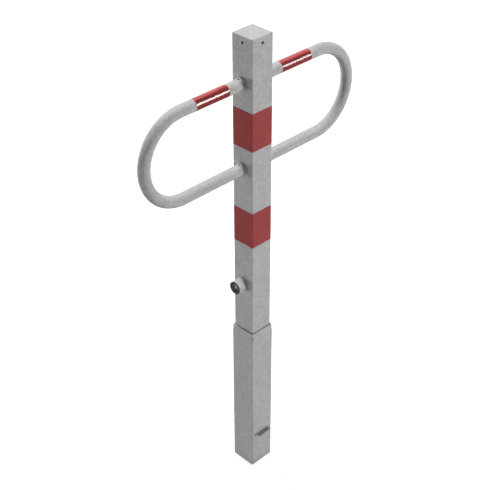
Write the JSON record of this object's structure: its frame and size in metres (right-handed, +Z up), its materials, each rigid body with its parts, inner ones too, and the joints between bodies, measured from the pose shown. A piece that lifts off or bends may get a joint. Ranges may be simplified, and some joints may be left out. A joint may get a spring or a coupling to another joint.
{
  "type": "removable bollard",
  "caption": "Square removable post with two bent tube hoops, red bands and a triangular-key lock, standing in a square ground sleeve.",
  "frame": {"origin": "centre of the ground sleeve's lower end", "axes": "+Z up along the post, X along the two hoops with the lock on the -X face, the keeper plate in the sleeve's -Y wall"},
  "size_m": [0.7518, 0.094, 1.4],
  "materials": {
    "sleeve_zinc": "hot-dip galvanised, matt",
    "keeper_steel": "dark bare steel",
    "post_zinc": "hot-dip galvanised, matt",
    "hoop_zinc": "hot-dip galvanised, satin",
    "post_film": "red reflective film",
    "hoop_film": "glossy red reflective film",
    "housing_zinc": "hot-dip galvanised, satin",
    "insert_dark": "dark cast zinc, satin",
    "spindle_steel": "turned steel",
    "inner_steel": "zinc plated"
  },
  "bodies": {
    "sleeve": {"ground_sleeve": "sleeve_zinc", "keeper_plate": "keeper_steel"},
    "post": {"post_tube": "post_zinc", "top_cap": "post_zinc", "hoop_left": "hoop_zinc", "hoop_right": "hoop_zinc", "post_band_upper": "post_film", "post_band_lower": "post_film", "hoop_band_left": "hoop_film", "hoop_band_right": "hoop_film", "lock_housing": "housing_zinc", "lock_insert": "insert_dark", "latch_pivot_pin": "inner_steel", "pivot_spacer_left": "inner_steel", "pivot_spacer_right": "inner_steel"},
    "spindle": {"lock_spindle": "spindle_steel", "cam_plate": "inner_steel", "cam_washer": "inner_steel", "cam_screw": "inner_steel"},
    "latch": {"latch_bar": "inner_steel", "latch_foot": "inner_steel", "follower_pin": "inner_steel"}
  },
  "joints": [
    {"name": "post_lift", "type": "slide", "parent": "sleeve", "child": "post", "axis": [0, 0, 1], "range_m": [0, 0.41]},
    {"name": "key_turn", "type": "hinge", "parent": "post", "child": "spindle", "pos_m": [-0.04, 0, 0.671], "axis": [1, 0, 0], "range_deg": [0, 90]},
    {"name": "latch_swing", "type": "hinge", "parent": "post", "child": "latch", "pos_m": [0, 0.013, 0.437], "axis": [-1, 0, 0], "range_deg": [0, 2.45]}
  ],
  "couplings": [
    {"joint": "latch_swing", "follows": "key_turn", "ratio": 0.027214}
  ]
}
